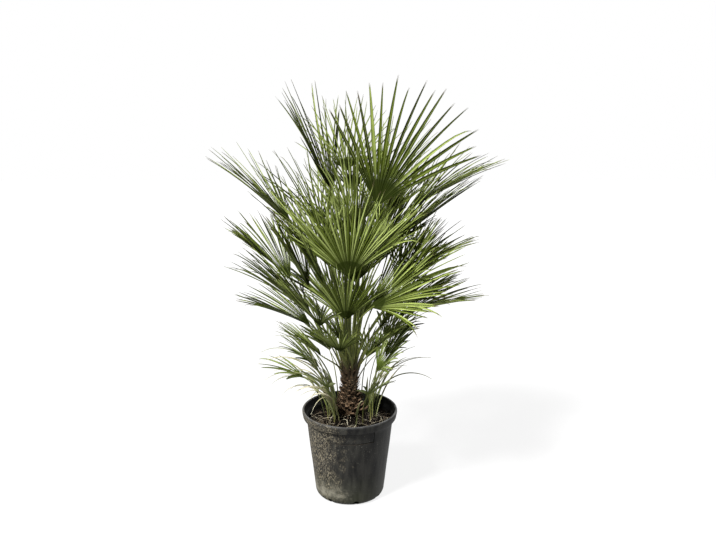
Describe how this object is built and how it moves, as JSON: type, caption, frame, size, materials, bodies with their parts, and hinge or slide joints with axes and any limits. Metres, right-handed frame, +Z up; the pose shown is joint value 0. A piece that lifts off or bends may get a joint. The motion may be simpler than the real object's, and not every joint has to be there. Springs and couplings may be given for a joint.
{
  "type": "potted european fan palm",
  "caption": "Bushy fan palm with stiff pleated fan leaves on thin stalks round a short fibrous trunk, in a tapered round plastic nursery pot filled with soil.",
  "frame": {"origin": "centre of the flat underside of the pot", "axes": "+Z up along the pot's axis and the trunk; -Y is the front, towards the viewer; +X is the plant's right seen from the front"},
  "size_m": [0.9586, 0.8852, 1.4052],
  "materials": {
    "pot_plastic": "charcoal black nursery plastic, scuffed, with pale dried soil and lime stains",
    "soil_mix": "dark coarse potting mix with pale leaf litter",
    "trunk_fibre": "brown shaggy fibre and cut leaf bases",
    "leaf_green": "stiff pleated green leaf, satin upper face, paler greyish underside, dry brown tips",
    "shoot_green": "soft young leaf, lighter green, satin",
    "spear_green": "folded unopened leaf, pale yellowish green, faintly ribbed",
    "dry_leaf": "narrow strap leaf, dry and cream towards the tip"
  },
  "bodies": {
    "root": {"curled_leaf_lower": "dry_leaf", "curled_leaf_upper": "dry_leaf", "frond_back": "leaf_green", "frond_back_high": "leaf_green", "frond_back_left": "leaf_green", "frond_back_right": "leaf_green", "frond_centre_left": "leaf_green", "frond_centre_low": "leaf_green", "frond_centre_right": "leaf_green", "frond_core_high": "leaf_green", "frond_core_left": "leaf_green", "frond_core_low": "leaf_green", "frond_crest_back": "leaf_green", "frond_crest_left": "leaf_green", "frond_crest_middle": "leaf_green", "frond_crest_right": "leaf_green", "frond_fill_left": "leaf_green", "frond_fill_right": "leaf_green", "frond_front_left": "leaf_green", "frond_front_right": "leaf_green", "frond_heart": "leaf_green", "frond_inner_back": "leaf_green", "frond_inner_left": "leaf_green", "frond_inner_right": "leaf_green", "frond_left": "leaf_green", "frond_left_steep": "leaf_green", "frond_low_back": "leaf_green", "frond_low_fill_left": "leaf_green", "frond_low_fill_right": "leaf_green", "frond_low_left": "leaf_green", "frond_low_right": "leaf_green", "frond_lowest_left": "leaf_green", "frond_lowest_right": "leaf_green", "frond_middle_right": "leaf_green", "frond_right": "leaf_green", "frond_right_fill": "leaf_green", "frond_small_back": "leaf_green", "frond_small_front": "leaf_green", "frond_small_left": "leaf_green", "frond_small_right": "leaf_green", "frond_upper_front": "leaf_green", "frond_upper_left": "leaf_green", "frond_upper_right": "leaf_green", "pot": "pot_plastic", "shoot_back_left": "shoot_green", "shoot_back_right": "shoot_green", "shoot_left_front": "shoot_green", "shoot_left_high": "shoot_green", "shoot_left_low": "shoot_green", "shoot_left_middle": "shoot_green", "shoot_right_front": "shoot_green", "shoot_right_high": "shoot_green", "shoot_right_low": "shoot_green", "shoot_right_middle": "shoot_green", "soil": "soil_mix", "spear_leaf": "spear_green", "strap_leaf_front": "dry_leaf", "strap_leaf_left": "dry_leaf", "strap_leaf_right": "dry_leaf", "trunk": "trunk_fibre"}
  },
  "joints": []
}
